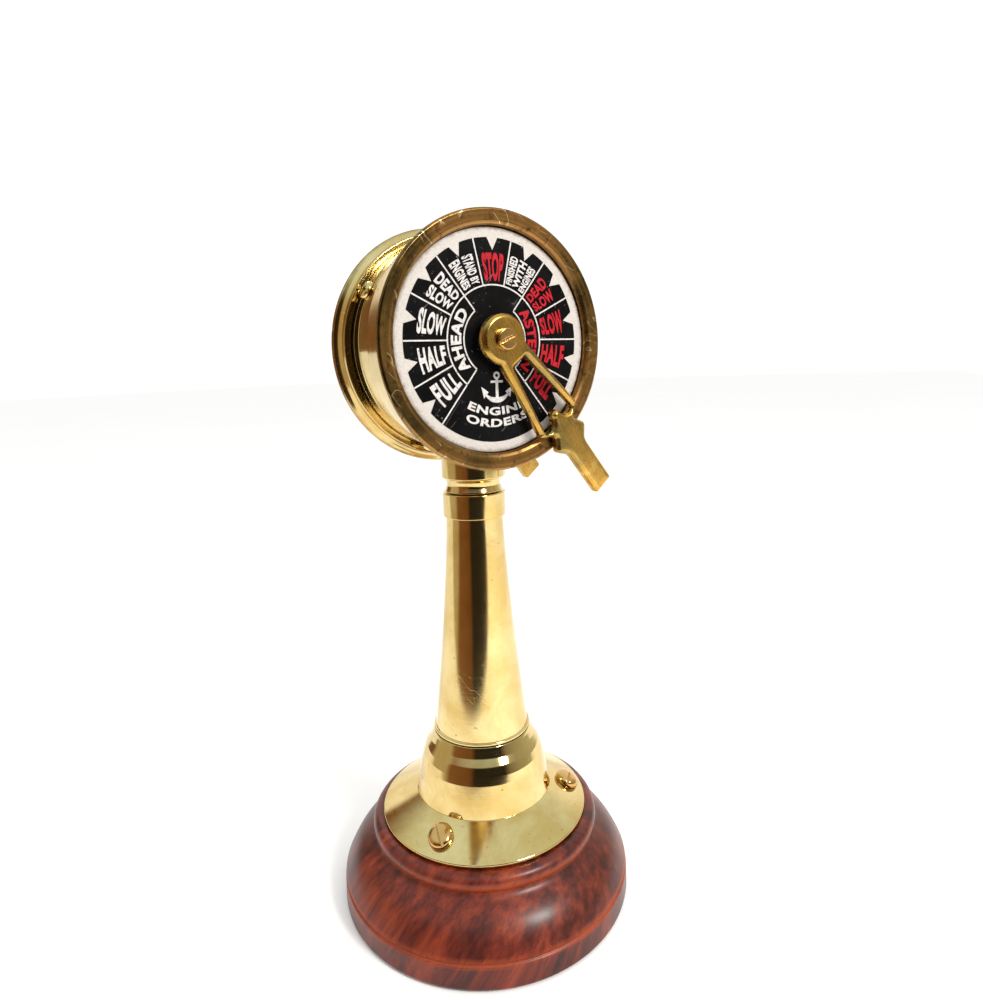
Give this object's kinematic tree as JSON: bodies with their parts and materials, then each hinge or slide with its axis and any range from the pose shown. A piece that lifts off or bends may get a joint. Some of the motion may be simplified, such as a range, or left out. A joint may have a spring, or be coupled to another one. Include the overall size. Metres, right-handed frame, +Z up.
{
  "type": "ship engine telegraph",
  "caption": "Desk model ship's engine telegraph: turned wooden base, brass foot and tapered column, two-faced dial drum and twin pointer levers on one shaft.",
  "frame": {"origin": "centre of the underside of the base, on the column's axis, where the model rests", "axes": "+Z up along the column, the front dial faces -Y and the rear dial +Y, +X to the right seen from the front"},
  "size_m": [0.0864, 0.0864, 0.2032],
  "materials": {
    "polished_brass": "polished, warm yellow",
    "aged_brass": "darkened antique brown, worn bright on the edges",
    "lever_brass": "satin cast brass with a golden lacquer",
    "screw_brass": "turned, lightly polished",
    "steel": "bright zinc",
    "lacquered_wood": "reddish-brown hardwood with dark grain under gloss lacquer",
    "dial_print": "printed dial, black field with white and red orders",
    "felt": "pressed felt"
  },
  "bodies": {
    "root": {"base_felt": "felt", "wooden_base": "lacquered_wood", "foot_flange": "polished_brass", "flange_screw_1": "screw_brass", "flange_screw_2": "screw_brass", "flange_screw_3": "screw_brass", "column": "polished_brass", "head_ferrule": "polished_brass", "tie_rod": "steel", "tie_rod_lower_washer": "steel", "tie_rod_lower_nut": "steel", "tie_rod_upper_washer": "steel", "tie_rod_upper_nut": "steel", "case_drum": "polished_brass", "case_screw_1": "screw_brass", "case_screw_2": "screw_brass", "case_screw_3": "screw_brass", "front_bezel": "aged_brass", "rear_bezel": "aged_brass", "front_dial": "dial_print", "rear_dial": "dial_print", "front_bush": "screw_brass", "rear_bush": "screw_brass", "front_bush_nut": "screw_brass", "rear_bush_nut": "screw_brass"},
    "levers": {"lever_shaft": "steel", "front_lever": "lever_brass", "rear_lever": "lever_brass", "front_lever_screw": "screw_brass", "rear_lever_screw": "screw_brass", "front_spring_washer": "steel", "rear_spring_washer": "steel"}
  },
  "joints": [
    {"name": "lever_turn", "type": "hinge", "parent": "root", "child": "levers", "pos_m": [0, 0, 0.1657], "axis": [0, -1, 0], "range_deg": [0, 284]}
  ]
}
